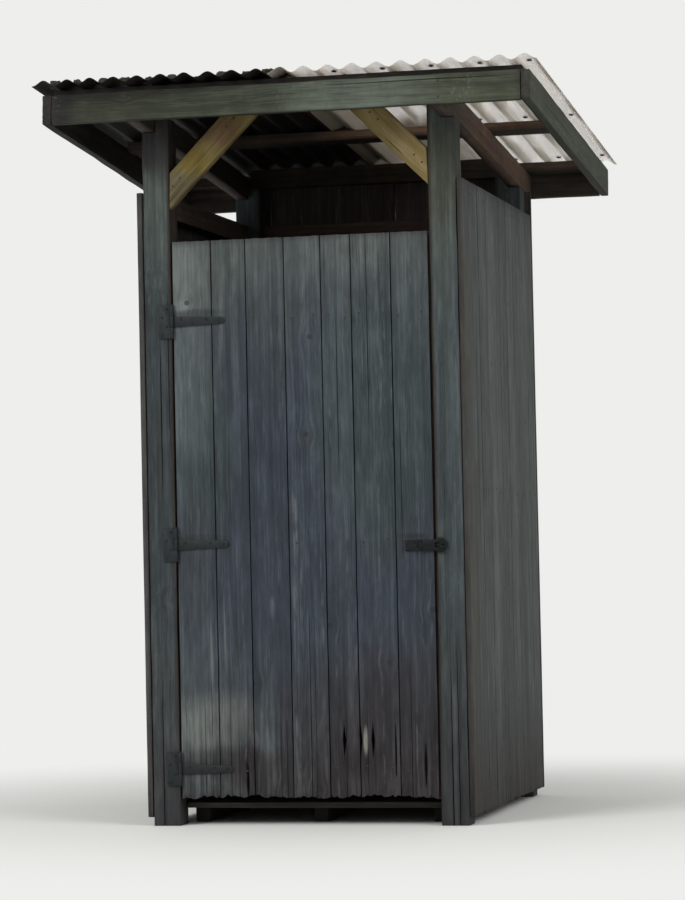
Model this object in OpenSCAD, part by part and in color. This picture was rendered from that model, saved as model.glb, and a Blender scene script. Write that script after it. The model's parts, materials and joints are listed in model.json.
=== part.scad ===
// A small timber outhouse: posts, boarded walls, a ledged door on tee hinges
// and a lean-to roof of one dark and one clear corrugated sheet.
// Millimetres. The origin is on the ground under the middle of the roof.
// The door is in the front, which faces -Y, and the roof falls towards +Y.

/* [Frame] */
// Clear width between the front posts
opening_w = 830; // [740:5:920]
// Depth of the frame over the outer faces of the posts
body_d = 1200; // [1000:10:1400]
// Side of a square post
post_w = 90; // [75:1:110]
// Thickness of the front and rear beams
beam_t = 45; // [35:1:60]
// Height of the front and rear beams
beam_h = 70; // [60:1:90]
// Thickness of the sloping side rafters
rafter_t = 45; // [35:1:55]
// Height of the sloping side rafters
rafter_h = 80; // [60:1:100]
// Width of a knee brace
brace_w = 84; // [60:1:110]
// Thickness of a knee brace
brace_t = 38; // [25:1:45]
// Length of the left knee brace's longer edge, measured along the post
brace_reach_left = 290; // [240:5:330]
// Length of the right knee brace's longer edge, measured along the post
brace_reach_right = 250; // [220:5:330]

/* [Door] */
// Height of the door leaf
door_h = 1750; // [1600:10:1900]
// Height of the door's bottom edge above the ground
door_lift = 80; // [76:1:120]
// Gap between the door and each post
door_gap = 5; // [5:0.5:8]
// Thickness of the door's boards
door_t = 20; // [16:1:28]
// Gap between two boards of the door
leaf_gap = 1.5; // [1:0.5:4]
// Depth of the wear at the door's foot
wear_h = 12; // [4:1:25]
// Height of the splits' lower ends above the door's bottom edge
split_foot = 130; // [90:5:180]
// Length of the splits near the door's foot
split_len = 105; // [60:5:150]
// Width of a split at its middle
split_w = 12; // [6:1:16]
// Height of a ledge across the back of the door
ledge_h = 100; // [70:5:130]
// Thickness of a ledge
ledge_t = 25; // [18:1:30]
// Distance from each edge of the door to the ends of its ledges
ledge_inset = 30; // [28:1:60]
// Height of the open space between the door and the front beam
vent_h = 390; // [350:5:430]
// Height of the lowest hinge above the door's bottom edge
hinge_foot = 97; // [80:1:140]
// Distance of the top hinge below the door's top edge
hinge_head = 253; // [150:1:300]
// Width of the stop that the door closes against
stop_w = 20; // [12:1:25]
// Thickness of the stop
stop_t = 25; // [15:1:30]

/* [Hinges and hasp] */
// Length of a hinge strap beyond its pin
strap_len = 170; // [130:5:220]
// Height of a strap at its pin
strap_root_h = 34; // [28:1:44]
// Radius of a strap's rounded tip
strap_tip_r = 11; // [8:0.5:14]
// Thickness of the hinge plates, straps and hasp
leaf_t = 3; // [2:0.5:4]
// Height of a hinge plate on the post
plate_h = 104; // [90:2:130]
// Width of a hinge plate on the post
plate_w = 34; // [24:1:44]
// Radius of a hinge pin
pin_r = 3.5; // [2.5:0.25:4]
// Outer radius of a hinge knuckle
knuckle_r = 6; // [5.5:0.25:7]
// Distance of the hasp below the middle hinge
hasp_drop = 17; // [0:1:40]
// Height of the hasp
hasp_h = 34; // [26:1:44]
// Length of the hasp's fixed leaf
hasp_leaf_l = 42; // [30:1:60]
// Distance from the hasp's pin to the middle of the staple
hasp_reach = 62; // [50:1:75]
// Distance of the staple's middle from the post's inner edge
staple_in = 16; // [14:1:30]
// Radius of the staple's wire
wire_r = 3; // [2:0.25:3.5]
// Spacing of the staple's legs
staple_gap = 18; // [16:1:24]
// Length of the staple's straight legs
staple_leg = 18; // [16:1:26]

/* [Walls and floor] */
// Nominal width of a board
board_w = 115; // [90:1:160]
// Gap between two boards of a wall or the floor
board_gap = 2.5; // [1.5:0.5:8]
// Thickness of the wall boards
cladding_t = 18; // [12:1:25]
// Height of the side walls' top above the door's top
wall_rise = 160; // [120:5:200]
// Height of the wall boards' feet above the ground
wall_foot = 25; // [10:1:60]
// Thickness of the rails that carry the wall boards
rail_t = 45; // [30:1:60]
// Height of the rails
rail_h = 70; // [50:1:90]
// Height of the floor bearers
bearer_h = 50; // [30:1:54]
// Width of the floor bearers
bearer_w = 50; // [40:1:80]
// Thickness of the floor boards
floor_t = 20; // [15:1:21]
// Distance of the floor's front edge behind the front of the posts
floor_set = 55; // [52:1:80]
// Distance of the bearers' front ends behind the floor's front edge
bearer_set = 90; // [10:5:105]

/* [Roof] */
// Fall of the roof in degrees
roof_pitch = 5; // [3:0.5:7]
// Overhang of the sheets beyond the front and rear posts
roof_out = 195; // [150:5:240]
// Pitch of one corrugation
corr_pitch = 76; // [70:1:80]
// Number of corrugations in a sheet
corr_count = 11; // [10:1:12]
// Height of the corrugations
corr_depth = 18; // [12:1:24]
// Thickness of the dark iron sheet
iron_t = 0.8; // [0.6:0.1:1.5]
// Thickness of the clear sheet
clear_t = 1.2; // [0.8:0.1:2]
// Thickness of a purlin, which lies flat
purlin_t = 35; // [25:1:45]
// Width of a purlin
purlin_w = 70; // [50:1:90]
// Distance of the middle purlin behind the roof's middle
purlin_mid_y = 60; // [-100:10:150]
// Height of the fascia and barge boards
fascia_h = 96; // [80:1:120]
// Thickness of the fascia boards
fascia_t = 25; // [18:1:32]
// Thickness of the barge boards
barge_t = 30; // [20:1:38]
// Slot between the fascia's top edge and the underside of the sheets
fascia_drop = 20; // [5:1:28]
// Distance that the sheets run past the fascia
sheet_nose = 30; // [15:1:50]
// Distance that the sheets run past the barge boards
barge_inset = 25; // [15:1:50]

/* [Hidden] */

$fn = 32;
far = 4000;
fit = 0.3;
running = 0.1;
pin_fit = 0.05;
door_clear = 5;
slot_clear = 4;
notch_clear = 3;
eave_clear = 8;
knuckle_gap = 0.5;
stand_off = 1;
plate_set = 2;
plate_lap = 1;
pin_tail = 2;
pin_head = 3;
pin_rim = 0.5;
hasp_eye = 6;
corr_steps = 8;
board_shares = [1.07, 0.95, 1.06, 1.0, 0.82, 1.08, 1.02];
wear_shares = [0.25, 0, 0.5, 0.15, 0.75, 0.35, 1, 0.4, 0.65, 0.1];
foot_points = 4;
// Splits near the door's foot: which board, and the share of its width where the split is
foot_splits = [[4, 0.48], [5, 0], [5, 0.32]];

half_w = opening_w / 2 + post_w;
half_d = body_d / 2;
front_y = -half_d;
door_w = opening_w - 2 * door_gap;
door_top = door_lift + door_h;
wall_top = door_top + wall_rise;
floor_top = bearer_h + floor_t;

// The roof is worked out in a frame of its own: its XY plane is the underside of the sheets
beam_z = door_top + vent_h;
roof_z = beam_z + beam_h + fit - (half_d - beam_t) * tan(roof_pitch);
rear_beam_z = roof_z - half_d * tan(roof_pitch) - fit - beam_h;
roof_w = 2 * sheet_w() - corr_pitch;
roof_len = (body_d + 2 * roof_out) / cos(roof_pitch);
sheet_stack = corr_depth + iron_t + clear_t + 2 * fit;
sheet_shift = -sheet_stack * tan(roof_pitch) / 2;
edge_y = roof_len / 2 - sheet_nose;
fascia_len = roof_w - 2 * (barge_inset + barge_t + fit);
rafter_under = purlin_t + rafter_h;

top_hinge_z = door_top - hinge_head;
low_hinge_z = door_lift + hinge_foot;
middle_hinge_z = (top_hinge_z + low_hinge_z) / 2;
hinge_zs = [top_hinge_z, middle_hinge_z, low_hinge_z];
pin_x = -opening_w / 2 + door_gap / 2;
pin_y = front_y - knuckle_r - stand_off;
face_y = front_y - fit - leaf_t;
mid_knuckle_h = strap_root_h + 2 * knuckle_gap;

hasp_z = middle_hinge_z - hasp_drop;
staple_x = opening_w / 2 + staple_in;
hasp_pin_x = staple_x - hasp_reach;
hasp_y = front_y - door_clear - leaf_t;
hasp_pin_y = hasp_y + leaf_t / 2;
hasp_knuckle_r = 5;
hasp_pin_r = 2;

function sheet_w() = corr_pitch * corr_count;
function board_count(length) = round(length / board_w);
function share_sum(n) = n == 0 ? 0 : share_sum(n - 1) + board_shares[(n - 1) % len(board_shares)];

// Boards differ a little in width: where board i starts, and how wide it is
function board_start(i, length, gap) = (length + gap) * share_sum(i) / share_sum(board_count(length));
function board_span(i, length, gap) = board_start(i + 1, length, gap) - board_start(i, length, gap) - gap;
function wave(x) = corr_depth / 2 * (1 - cos(360 * x / corr_pitch));

// Puts children, drawn on the roof's own plane, where the roof lies
module on_roof() {
    translate([0, 0, roof_z]) rotate([-roof_pitch, 0, 0]) children();
}

// Mirrors children to the right side of the building when side is 1
module on_side(side) {
    mirror([side > 0 ? 1 : 0, 0, 0]) children();
}

// The space that a left rafter takes, grown by a clearance and open upwards
module rafter_housing(clear) {
    on_roof()
        translate([-half_w - far, -far / 2, -rafter_under - clear])
            cube([far + rafter_t + clear, far, far]);
}

// A left post, square below, with its top cut back for the rafter
module post(y, top) {
    difference() {
        translate([-half_w, y, 0]) cube([post_w, post_w, top - fit]);
        rafter_housing(fit);
    }
}

module beam(y, z) {
    translate([-half_w + rafter_t + fit, y, z])
        cube([2 * (half_w - rafter_t - fit), beam_t, beam_h]);
}

module rafter() {
    on_roof()
        translate([-half_w, -edge_y + fascia_t + fit, -rafter_under])
            cube([rafter_t, 2 * (edge_y - fascia_t - fit), rafter_h - fit]);
}

// A left knee brace, cut at 45 degrees to meet the post and the beam
module knee_brace(reach) {
    short = reach - brace_w * sqrt(2);
    translate([-opening_w / 2 + fit, front_y + brace_t, beam_z - fit])
        rotate([90, 0, 0])
            linear_extrude(brace_t)
                polygon([[0, -reach], [reach, 0], [short, 0], [0, -short]]);
}

module purlin(y) {
    on_roof()
        translate([-fascia_len / 2, y, -purlin_t])
            cube([fascia_len, purlin_w, purlin_t - fit]);
}

module fascia(y) {
    on_roof()
        translate([-fascia_len / 2, y, -fascia_drop - fascia_h])
            cube([fascia_len, fascia_t, fascia_h]);
}

module barge() {
    on_roof()
        translate([-roof_w / 2 + barge_inset, -edge_y, -fascia_drop - fascia_h])
            cube([barge_t, 2 * edge_y, fascia_h]);
}

// A corrugated sheet whose left edge is at x and whose valleys stand at height z
module corrugated_sheet(x, z, thick) {
    last = corr_count * corr_steps;
    lower = [for (i = [0 : last]) let (s = i * corr_pitch / corr_steps) [s, wave(s)]];
    upper = [for (i = [last : -1 : 0]) let (s = i * corr_pitch / corr_steps) [s, wave(s) + thick]];
    on_roof()
        translate([x, roof_len / 2 + sheet_shift, z])
            rotate([90, 0, 0])
                linear_extrude(roof_len)
                    polygon(concat(lower, upper));
}

// The boards of the left wall stand side by side on the outside of the posts
module side_boards() {
    for (i = [0 : board_count(body_d) - 1])
        translate([-half_w - fit - cladding_t, front_y + board_start(i, body_d, board_gap), wall_foot])
            cube([cladding_t, board_span(i, body_d, board_gap), wall_top - wall_foot]);
}

module rear_boards() {
    width = 2 * (half_w + fit + cladding_t);
    top = roof_z - (half_d + fit + cladding_t) * tan(roof_pitch) - eave_clear;
    difference() {
        for (i = [0 : board_count(width) - 1])
            translate([-width / 2 + board_start(i, width, board_gap), half_d + fit, wall_foot])
                cube([board_span(i, width, board_gap), cladding_t, top - wall_foot]);
        rafter_housing(notch_clear);
        mirror([1, 0, 0]) rafter_housing(notch_clear);
    }
}

// Heights of the three rails of a wall, from the floor up
function rail_zs() =
    let (low = floor_top + fit, high = wall_top - rail_h)
    [low, (low + high) / 2, high];

module side_rails() {
    for (z = rail_zs())
        translate([-half_w, front_y + post_w + fit, z])
            cube([rail_t, body_d - 2 * (post_w + fit), rail_h]);
}

module rear_rails() {
    for (z = rail_zs())
        translate([-opening_w / 2 + fit, half_d - rail_t, z])
            cube([opening_w - 2 * fit, rail_t, rail_h]);
}

// Floor boards lie across the bearers, and those beside the posts are shorter
module floor_rows() {
    start = front_y + floor_set;
    length = half_d - fit - start;
    for (i = [0 : board_count(length) - 1]) {
        y = start + board_start(i, length, board_gap);
        width = board_span(i, length, board_gap);
        beside_post = y < front_y + post_w + fit || y + width > half_d - post_w - fit;
        reach = beside_post ? opening_w / 2 - door_clear : half_w - fit;
        translate([-reach, y, bearer_h])
            cube([2 * reach, width, floor_t]);
    }
}

module bearers() {
    side_x = opening_w / 2 - bearer_w / 2 - door_clear;
    start = floor_set + bearer_set;
    for (x = [-side_x, 0, side_x])
        translate([x - bearer_w / 2, front_y + start, 0])
            cube([bearer_w, body_d - start - fit, bearer_h - fit]);
}

module stop() {
    translate([opening_w / 2 - stop_w, front_y + door_t + door_clear, door_lift])
        cube([stop_w - fit, stop_t, door_h]);
}

// One knuckle: a ring round the pin between two heights
module knuckle(low, high) {
    translate([0, 0, low]) cylinder(h = high - low, r = knuckle_r);
}

// The half of a tee hinge that stays on the post, with the upper and lower knuckles
module hinge_plate(z) {
    tip = mid_knuckle_h / 2 + knuckle_gap;
    arm = plate_h / 2 - tip;
    translate([pin_x, 0, z])
        difference() {
            union() {
                translate([-knuckle_r - plate_set - plate_w, face_y, -plate_h / 2])
                    cube([plate_w, leaf_t, plate_h]);
                for (low = [tip, -plate_h / 2]) {
                    translate([-knuckle_r - plate_set - plate_lap, face_y, low])
                        cube([knuckle_r + plate_set, leaf_t, arm]);
                    translate([0, pin_y, 0]) knuckle(low, low + arm);
                }
            }
            translate([0, pin_y, -plate_h]) cylinder(h = 2 * plate_h, r = pin_r + pin_fit);
        }
}

module pin(z) {
    translate([pin_x, pin_y, z - plate_h / 2 - pin_tail])
        cylinder(h = plate_h + pin_tail + pin_head / 2, r = pin_r);
    translate([pin_x, pin_y, z + plate_h / 2 + fit]) cylinder(h = pin_head, r = knuckle_r - pin_rim);
}

// The tapered strap of a tee hinge, with the middle knuckle
module hinge_strap(z) {
    translate([pin_x, 0, z])
        difference() {
            union() {
                translate([0, face_y + leaf_t, 0])
                    rotate([90, 0, 0])
                        linear_extrude(leaf_t)
                            strap_outline();
                translate([0, pin_y, 0]) knuckle(-mid_knuckle_h / 2, mid_knuckle_h / 2);
            }
            translate([0, pin_y, -plate_h]) cylinder(h = 2 * plate_h, r = pin_r + running);
        }
}

module strap_outline() {
    tip_x = strap_len - strap_tip_r;
    polygon([
        [0, -strap_root_h / 2], [tip_x, -strap_tip_r],
        [tip_x, strap_tip_r], [0, strap_root_h / 2]
    ]);
    translate([tip_x, 0]) circle(r = strap_tip_r);
}

// One board of the door, with its foot eaten away unevenly and any splits there
module door_board(i) {
    width = board_span(i, door_w, leaf_gap);
    foot = [
        for (k = [0 : foot_points - 1])
            let (share = wear_shares[(i * (foot_points - 1) + k) % len(wear_shares)])
                [width * k / (foot_points - 1), wear_h * share]
    ];
    translate([-door_w / 2 + board_start(i, door_w, leaf_gap), front_y + door_t, door_lift])
        rotate([90, 0, 0])
            linear_extrude(door_t)
                difference() {
                    polygon(concat(foot, [[width, door_h], [0, door_h]]));
                    for (split = foot_splits)
                        if (split[0] == i) translate([width * split[1], split_foot]) foot_split();
                }
}

// A split in a board: a narrow opening, pointed at both ends
module foot_split() {
    polygon([[0, 0], [split_w / 2, split_len / 2], [0, split_len], [-split_w / 2, split_len / 2]]);
}

module door_leaf() {
    for (i = [0 : board_count(door_w) - 1]) door_board(i);
}

module ledge(z) {
    translate([-door_w / 2 + ledge_inset, front_y + door_t + fit, z - ledge_h / 2])
        cube([door_w - 2 * ledge_inset, ledge_t, ledge_h]);
}

// A diagonal brace between two ledges, rising from the hinge side
module door_brace(low, high) {
    reach = door_w / 2 - ledge_inset;
    foot = low + ledge_h / 2 + fit;
    head = high - ledge_h / 2 - fit;
    translate([0, front_y + door_t + fit + ledge_t, 0])
        rotate([90, 0, 0])
            linear_extrude(ledge_t)
                polygon([[-reach, foot], [-reach + ledge_h, foot], [reach, head], [reach - ledge_h, head]]);
}

// The leaf of the hasp that is screwed to the door, with its pin
module hasp_fixed_leaf() {
    side_h = hasp_h / 4;
    translate([hasp_pin_x, 0, hasp_z]) {
        translate([-hasp_knuckle_r - stand_off - hasp_leaf_l, face_y, -hasp_h / 2])
            cube([hasp_leaf_l, leaf_t, hasp_h]);
        for (low = [-hasp_h / 2, hasp_h / 2 - side_h]) {
            translate([-hasp_knuckle_r - 2 * stand_off, face_y, low])
                cube([hasp_knuckle_r + 2 * stand_off, leaf_t, side_h]);
            translate([0, hasp_pin_y, low]) cylinder(h = side_h, r = hasp_knuckle_r);
        }
        translate([0, hasp_pin_y, -hasp_h / 2]) cylinder(h = hasp_h, r = hasp_pin_r);
    }
}

// The strap of the hasp, with the slot that passes over the staple
module hasp_swinging_strap() {
    middle_h = hasp_h / 2 - 2 * knuckle_gap;
    translate([hasp_pin_x, 0, hasp_z])
        difference() {
            union() {
                translate([0, hasp_y + leaf_t, 0])
                    rotate([90, 0, 0])
                        linear_extrude(leaf_t)
                            hasp_outline(middle_h);
                translate([0, hasp_pin_y, -middle_h / 2]) cylinder(h = middle_h, r = hasp_knuckle_r);
            }
            translate([0, hasp_pin_y, -hasp_h]) cylinder(h = 2 * hasp_h, r = hasp_pin_r + running);
        }
}

module hasp_outline(root_h) {
    neck = hasp_knuckle_r + stand_off;
    slot_l = staple_gap + 2 * (wire_r + slot_clear);
    slot_h = 2 * (wire_r + slot_clear);
    difference() {
        union() {
            translate([0, -root_h / 2]) square([neck + stand_off, root_h]);
            translate([neck, -hasp_h / 2]) square([hasp_reach - neck, hasp_h]);
            translate([hasp_reach, 0]) circle(r = hasp_h / 2 + hasp_eye);
        }
        translate([hasp_reach - slot_l / 2, -slot_h / 2]) square([slot_l, slot_h]);
    }
}

module staple() {
    translate([staple_x, front_y - fit, hasp_z]) {
        for (side = [-1, 1])
            translate([side * staple_gap / 2, 0, 0])
                rotate([90, 0, 0])
                    cylinder(h = staple_leg, r = wire_r);
        translate([0, -staple_leg, 0])
            rotate([0, 0, 180])
                rotate_extrude(angle = 180)
                    translate([staple_gap / 2, 0])
                        circle(r = wire_r);
    }
}

timber = [0.42, 0.42, 0.39];
timber_dark = [0.30, 0.30, 0.28];
timber_warm = [0.55, 0.42, 0.24];
timber_door = [0.40, 0.42, 0.44];
iron = [0.20, 0.21, 0.18];
clear_sheet = [0.86, 0.84, 0.74];
steel = [0.27, 0.24, 0.22];

module post_front_left() { color(timber) post(front_y, beam_z); }
module post_front_right() { color(timber) on_side(1) post(front_y, beam_z); }
module post_rear_left() { color(timber) post(half_d - post_w, rear_beam_z); }
module post_rear_right() { color(timber) on_side(1) post(half_d - post_w, rear_beam_z); }
module front_beam() { color(timber_dark) beam(front_y, beam_z); }
module rear_beam() { color(timber_dark) beam(half_d - beam_t, rear_beam_z); }
module rafter_left() { color(timber_dark) rafter(); }
module rafter_right() { color(timber_dark) on_side(1) rafter(); }
module knee_brace_left() { color(timber_warm) knee_brace(brace_reach_left); }
module knee_brace_right() { color(timber_warm) on_side(1) knee_brace(brace_reach_right); }
module front_purlin() { color(timber_dark) purlin(-edge_y + fascia_t + fit); }
module middle_purlin() { color(timber_dark) purlin(purlin_mid_y - purlin_w / 2); }
module rear_purlin() { color(timber_dark) purlin(edge_y - fascia_t - fit - purlin_w); }
module fascia_front() { color(timber) fascia(-edge_y); }
module fascia_rear() { color(timber) fascia(edge_y - fascia_t); }
module barge_left() { color(timber) barge(); }
module barge_right() { color(timber) on_side(1) barge(); }
module roof_sheet_iron() { color(iron) corrugated_sheet(-roof_w / 2, clear_t + 2 * fit, iron_t); }
module roof_sheet_clear() { color(clear_sheet) corrugated_sheet(roof_w / 2 - sheet_w(), fit, clear_t); }
module left_wall_boards() { color(timber) side_boards(); }
module right_wall_boards() { color(timber) on_side(1) side_boards(); }
module rear_wall_boards() { color(timber) rear_boards(); }
module left_wall_rails() { color(timber_dark) side_rails(); }
module right_wall_rails() { color(timber_dark) on_side(1) side_rails(); }
module rear_wall_rails() { color(timber_dark) rear_rails(); }
module floor_boards() { color(timber) floor_rows(); }
module floor_bearers() { color(timber_dark) bearers(); }
module door_stop() { color(timber_dark) stop(); }
module hinge_plate_top() { color(steel) hinge_plate(top_hinge_z); }
module hinge_plate_middle() { color(steel) hinge_plate(middle_hinge_z); }
module hinge_plate_low() { color(steel) hinge_plate(low_hinge_z); }
module hinge_pins() { color(steel) for (z = hinge_zs) pin(z); }
module latch_staple() { color(steel) staple(); }
module door_boards() { color(timber_door) door_leaf(); }
module door_ledge_top() { color(timber_door) ledge(top_hinge_z); }
module door_ledge_middle() { color(timber_door) ledge(middle_hinge_z); }
module door_ledge_low() { color(timber_door) ledge(low_hinge_z); }
module door_brace_upper() { color(timber_door) door_brace(middle_hinge_z, top_hinge_z); }
module door_brace_lower() { color(timber_door) door_brace(low_hinge_z, middle_hinge_z); }
module hinge_strap_top() { color(steel) hinge_strap(top_hinge_z); }
module hinge_strap_middle() { color(steel) hinge_strap(middle_hinge_z); }
module hinge_strap_low() { color(steel) hinge_strap(low_hinge_z); }
module hasp_leaf() { color(steel) hasp_fixed_leaf(); }
module hasp_strap() { color(steel) hasp_swinging_strap(); }

post_front_left();
post_front_right();
post_rear_left();
post_rear_right();
front_beam();
rear_beam();
rafter_left();
rafter_right();
knee_brace_left();
knee_brace_right();
front_purlin();
middle_purlin();
rear_purlin();
fascia_front();
fascia_rear();
barge_left();
barge_right();
roof_sheet_iron();
roof_sheet_clear();
left_wall_boards();
right_wall_boards();
rear_wall_boards();
left_wall_rails();
right_wall_rails();
rear_wall_rails();
floor_boards();
floor_bearers();
door_stop();
hinge_plate_top();
hinge_plate_middle();
hinge_plate_low();
hinge_pins();
latch_staple();
door_boards();
door_ledge_top();
door_ledge_middle();
door_ledge_low();
door_brace_upper();
door_brace_lower();
hinge_strap_top();
hinge_strap_middle();
hinge_strap_low();
hasp_leaf();
hasp_strap();
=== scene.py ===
import bmesh
import bpy
import json
import math
import random
from mathutils import Matrix, Vector, noise


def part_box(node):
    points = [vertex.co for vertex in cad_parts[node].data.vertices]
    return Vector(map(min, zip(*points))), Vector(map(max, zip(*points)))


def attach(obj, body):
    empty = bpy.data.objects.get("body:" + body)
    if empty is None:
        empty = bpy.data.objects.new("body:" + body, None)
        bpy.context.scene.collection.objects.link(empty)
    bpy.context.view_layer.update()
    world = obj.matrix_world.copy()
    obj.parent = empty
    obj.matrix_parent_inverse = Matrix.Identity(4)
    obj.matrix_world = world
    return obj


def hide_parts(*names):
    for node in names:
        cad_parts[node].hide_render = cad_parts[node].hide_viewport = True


# A weathered timber outhouse. Metres, +Z up, the door faces -Y.
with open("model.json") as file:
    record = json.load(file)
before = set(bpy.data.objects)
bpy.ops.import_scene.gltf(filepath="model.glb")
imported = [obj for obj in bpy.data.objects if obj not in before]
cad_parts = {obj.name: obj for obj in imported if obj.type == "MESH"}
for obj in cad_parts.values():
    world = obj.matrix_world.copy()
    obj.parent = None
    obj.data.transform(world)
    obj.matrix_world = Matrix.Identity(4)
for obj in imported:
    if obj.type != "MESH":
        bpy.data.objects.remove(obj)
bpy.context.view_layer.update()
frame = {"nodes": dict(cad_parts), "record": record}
bodyNodes = frame["record"]["behaviour"]["bodies"]
bodyOf = {node: body for body, names in bodyNodes.items() for node in names}
print("frame loaded:", len(bodyOf), "nodes")


# The camera keeps the photograph's viewing angle, from further off with a longer lens
view = {
    "eye": (2.42, -10.15, 0.84),
    "aim": (0.02, -0.15, 1.175),
    "roll": -1.2,
    "lens": 127,
    "clipEnd": 300,
}


def placeCamera():
    data = bpy.data.cameras.new("frontCamera")
    data.lens = view["lens"]
    data.clip_end = view["clipEnd"]
    camera = bpy.data.objects.new("frontCamera", data)
    bpy.context.collection.objects.link(camera)
    camera.location = view["eye"]
    gaze = (Vector(view["aim"]) - camera.location).to_track_quat("-Z", "Y").to_matrix()
    camera.rotation_euler = (gaze @ Matrix.Rotation(math.radians(view["roll"]), 3, "Z")).to_euler()
    bpy.context.scene.camera = camera


placeCamera()
bpy.context.scene.view_settings.view_transform = "Standard"


def shade(red, green, blue):
    # a colour as it shows on screen, 0 to 255, turned into the light that the shaders use
    parts = [channel / 255 for channel in (red, green, blue)]
    return tuple(c / 12.92 if c <= 0.04045 else ((c + 0.055) / 1.055) ** 2.4 for c in parts) + (1.0,)


# A number on its way through a material: sums with it add the Math nodes
class Wire:
    def __init__(self, paint, socket):
        self.paint = paint
        self.socket = socket

    def output(self, name):
        return Wire(self.paint, self.socket.node.outputs[name])

    def maths(self, operation, *values):
        return self.paint.node("Math", {"operation": operation}, dict(enumerate(values)))

    def __add__(self, other):
        return self.maths("ADD", self, other)

    def __radd__(self, other):
        return self.maths("ADD", other, self)

    def __sub__(self, other):
        return self.maths("SUBTRACT", self, other)

    def __rsub__(self, other):
        return self.maths("SUBTRACT", other, self)

    def __mul__(self, other):
        return self.maths("MULTIPLY", self, other)

    def __rmul__(self, other):
        return self.maths("MULTIPLY", other, self)

    def __abs__(self):
        return self.maths("ABSOLUTE", self)

    def __or__(self, other):
        return self.maths("MAXIMUM", self, other)


# A material, or the surroundings, built up node by node
class Paint:
    def __init__(self, name, holders=bpy.data.materials):
        self.holder = holders.new(name)
        self.holder.use_nodes = True
        self.tree = self.holder.node_tree
        self.tree.nodes.clear()

    def node(self, kind, settings=None, sockets=None, out=0):
        made = self.tree.nodes.new("ShaderNode" + kind)
        for name, value in (settings or {}).items():
            setattr(made, name, value)
        for key, value in (sockets or {}).items():
            if isinstance(value, Wire):
                self.tree.links.new(value.socket, made.inputs[key])
            else:
                made.inputs[key].default_value = value
        return Wire(self, made.outputs[out]) if made.outputs else made

    def place(self):
        return self.node("TexCoord").output("Object")

    def upward(self):
        return self.split(self.node("NewGeometry").output("Normal"))[2]

    def attribute(self, name):
        return self.node("Attribute", {"attribute_name": name}, out="Vector")

    def split(self, vector):
        first = self.node("SeparateXYZ", sockets={0: vector})
        return first, first.output("Y"), first.output("Z")

    def vector(self, operation, first, second, out=0):
        return self.node("VectorMath", {"operation": operation}, {0: first, 1: second}, out)

    def noise(self, vector, factors, detail=3.0, roughness=0.55):
        where = self.vector("MULTIPLY", vector, factors)
        grit = {"Vector": where, "Scale": 1.0, "Detail": detail, "Roughness": roughness}
        return self.node("TexNoise", sockets=grit)

    def ease(self, value, low, high):
        # 0 at low, 1 at high and smooth between, whichever of the two is greater
        ends = {1: min(low, high), 2: max(low, high), 3: float(low >= high), 4: float(low < high)}
        return self.node("MapRange", {"interpolation_type": "SMOOTHSTEP"}, {0: value, **ends})

    def blend(self, mask, first, second):
        return self.node("Mix", {"data_type": "RGBA"}, {0: mask, 6: first, 7: second}, out=2)

    def ramp(self, value, colours):
        made = self.node("ValToRGB", sockets={0: value})
        stops = made.socket.node.color_ramp.elements
        while len(stops) < len(colours):
            stops.new(0.5)
        for i, colour in enumerate(colours):
            stops[i].position = i / (len(colours) - 1)
            stops[i].color = shade(*colour)
        return made

    def bump(self, height, distance):
        return self.node("Bump", sockets={"Strength": 1.0, "Distance": distance, "Height": height})

    def finish(self, sockets):
        surface = self.node("BsdfPrincipled", sockets=sockets)
        self.node("OutputMaterial", sockets={"Surface": surface})
        return self.holder


# The floor, the pale surroundings and two soft lamps
stage = {
    "floor": (240, 240, 237), "floorRough": 0.9,
    "floorSize": 90.0,
    "fadeFrom": 0.8, "fadeTo": 3.0,
    "surround": (238, 238, 236),
    "skyLight": 0.55,
    "lamps": (("frontLamp", (-5.5, -8.5, 6.5), 5.0, 620), ("sideLamp", (7.5, -5.0, 5.5), 5.0, 330)),
    "lampAim": (0.0, 0.0, 1.1),
}


def seenRays(paint):
    # 1 for what the camera sees, directly or in metal and glass
    rays = paint.node("LightPath")
    return rays.output("Is Camera Ray") | rays.output("Is Glossy Ray") | rays.output("Is Transmission Ray")


def setStage():
    sky = Paint("pale surround", bpy.data.worlds)
    strength = seenRays(sky) * (1 - stage["skyLight"]) + stage["skyLight"]
    glow = sky.node("Background", sockets={"Color": shade(*stage["surround"]), "Strength": strength})
    sky.node("OutputWorld", sockets={"Surface": glow})
    bpy.context.scene.world = sky.holder

    plane = bmesh.new()
    bmesh.ops.create_grid(plane, x_segments=2, y_segments=2, size=stage["floorSize"] / 2)
    mesh = bpy.data.meshes.new("studioFloor")
    plane.to_mesh(mesh)
    plane.free()
    floor = bpy.data.objects.new("studioFloor", mesh)
    bpy.context.collection.objects.link(floor)
    # away from the object the floor fades into the surroundings
    matt = Paint("pale floor")
    away = matt.vector("LENGTH", matt.place(), (0, 0, 0), "Value")
    faded = matt.ease(away, stage["fadeFrom"], stage["fadeTo"]) * seenRays(matt)
    ground = {"Base Color": shade(*stage["floor"]), "Roughness": stage["floorRough"]}
    lit = matt.node("BsdfPrincipled", sockets=ground)
    glow = matt.node("Emission", sockets={"Color": shade(*stage["surround"]), "Strength": 1.0})
    mixed = matt.node("MixShader", sockets={0: faded, 1: lit, 2: glow})
    matt.node("OutputMaterial", sockets={"Surface": mixed})
    mesh.materials.append(matt.holder)

    for name, place, size, watts in stage["lamps"]:
        data = bpy.data.lights.new(name, "AREA")
        data.size = size
        data.energy = watts
        lamp = bpy.data.objects.new(name, data)
        lamp.location = place
        lamp.rotation_euler = (Vector(stage["lampAim"]) - Vector(place)).to_track_quat("-Z", "Y").to_euler()
        bpy.context.collection.objects.link(lamp)


setStage()
print("stage set")


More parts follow.
